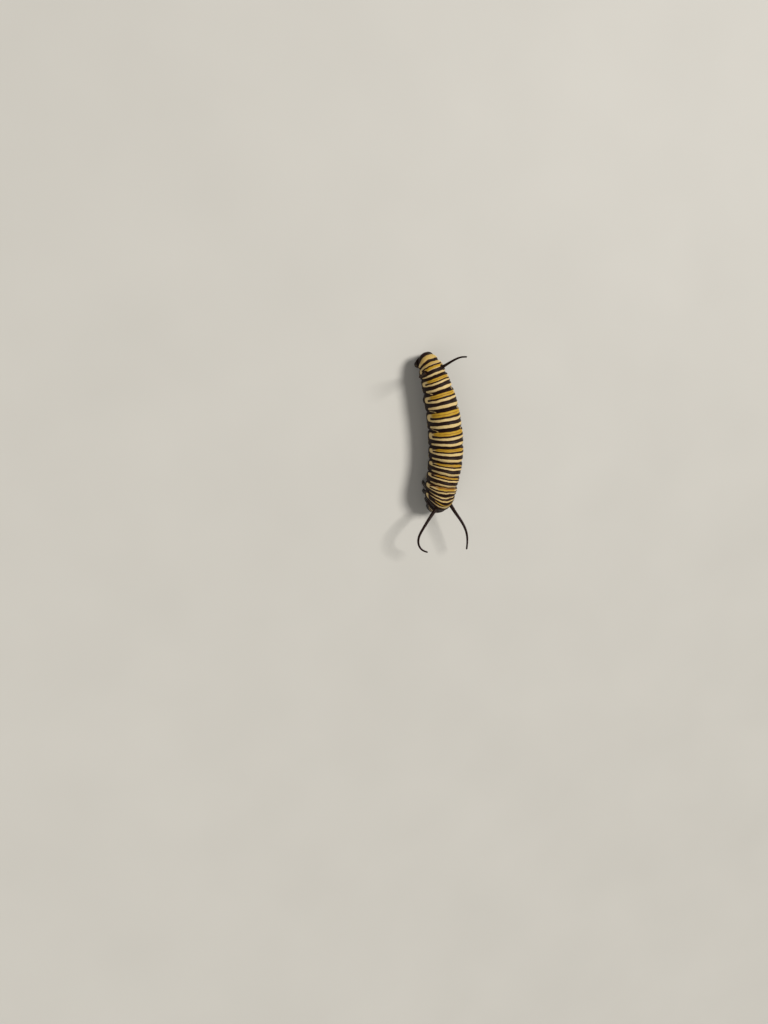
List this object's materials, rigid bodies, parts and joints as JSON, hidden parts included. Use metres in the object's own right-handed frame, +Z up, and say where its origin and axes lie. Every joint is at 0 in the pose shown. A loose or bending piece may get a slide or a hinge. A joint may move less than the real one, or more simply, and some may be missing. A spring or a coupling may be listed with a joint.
{
  "type": "monarch larva",
  "caption": "Life-size museum model of a resting monarch butterfly larva, banded cream, yellow and black, with long black filaments at both ends.",
  "frame": {"origin": "on the floor under the middle of the larva's box, filaments included", "axes": "+Z up; the head points along -Y and the tail along +Y; +X is towards the larva's left side"},
  "size_m": [0.013, 0.0442, 0.0114],
  "materials": {
    "banded_skin": "satin skin with cream, yellow and black bands",
    "black_skin": "satin black skin with cream spots",
    "filament": "soft satin black",
    "head_shell": "glossy black shell with cream-yellow arches",
    "leg_shell": "glossy black shell",
    "jaw": "glossy dark brown-black shell",
    "eye": "polished black domes"
  },
  "bodies": {
    "root": {"thorax_1": "banded_skin", "thorax_2": "banded_skin", "thorax_3": "banded_skin", "abdomen_1": "banded_skin", "abdomen_2": "banded_skin", "abdomen_3": "banded_skin", "abdomen_4": "banded_skin", "abdomen_5": "banded_skin", "abdomen_6": "banded_skin", "abdomen_7": "banded_skin", "abdomen_8": "banded_skin", "abdomen_9": "banded_skin", "abdomen_10": "banded_skin", "proleg_3_left": "black_skin", "proleg_3_right": "black_skin", "proleg_4_left": "black_skin", "proleg_4_right": "black_skin", "proleg_5_left": "black_skin", "proleg_5_right": "black_skin", "proleg_6_left": "black_skin", "proleg_6_right": "black_skin", "proleg_anal_left": "black_skin", "proleg_anal_right": "black_skin", "filament_front_left": "filament", "filament_front_right": "filament", "filament_rear_left": "filament", "filament_rear_right": "filament", "head": "head_shell", "eyes_left": "eye", "eyes_right": "eye", "jaw_left": "jaw", "jaw_right": "jaw", "antenna_left": "leg_shell", "antenna_right": "leg_shell", "leg_1_left": "leg_shell", "leg_1_right": "leg_shell", "leg_2_left": "leg_shell", "leg_2_right": "leg_shell", "leg_3_left": "leg_shell", "leg_3_right": "leg_shell"}
  },
  "joints": []
}
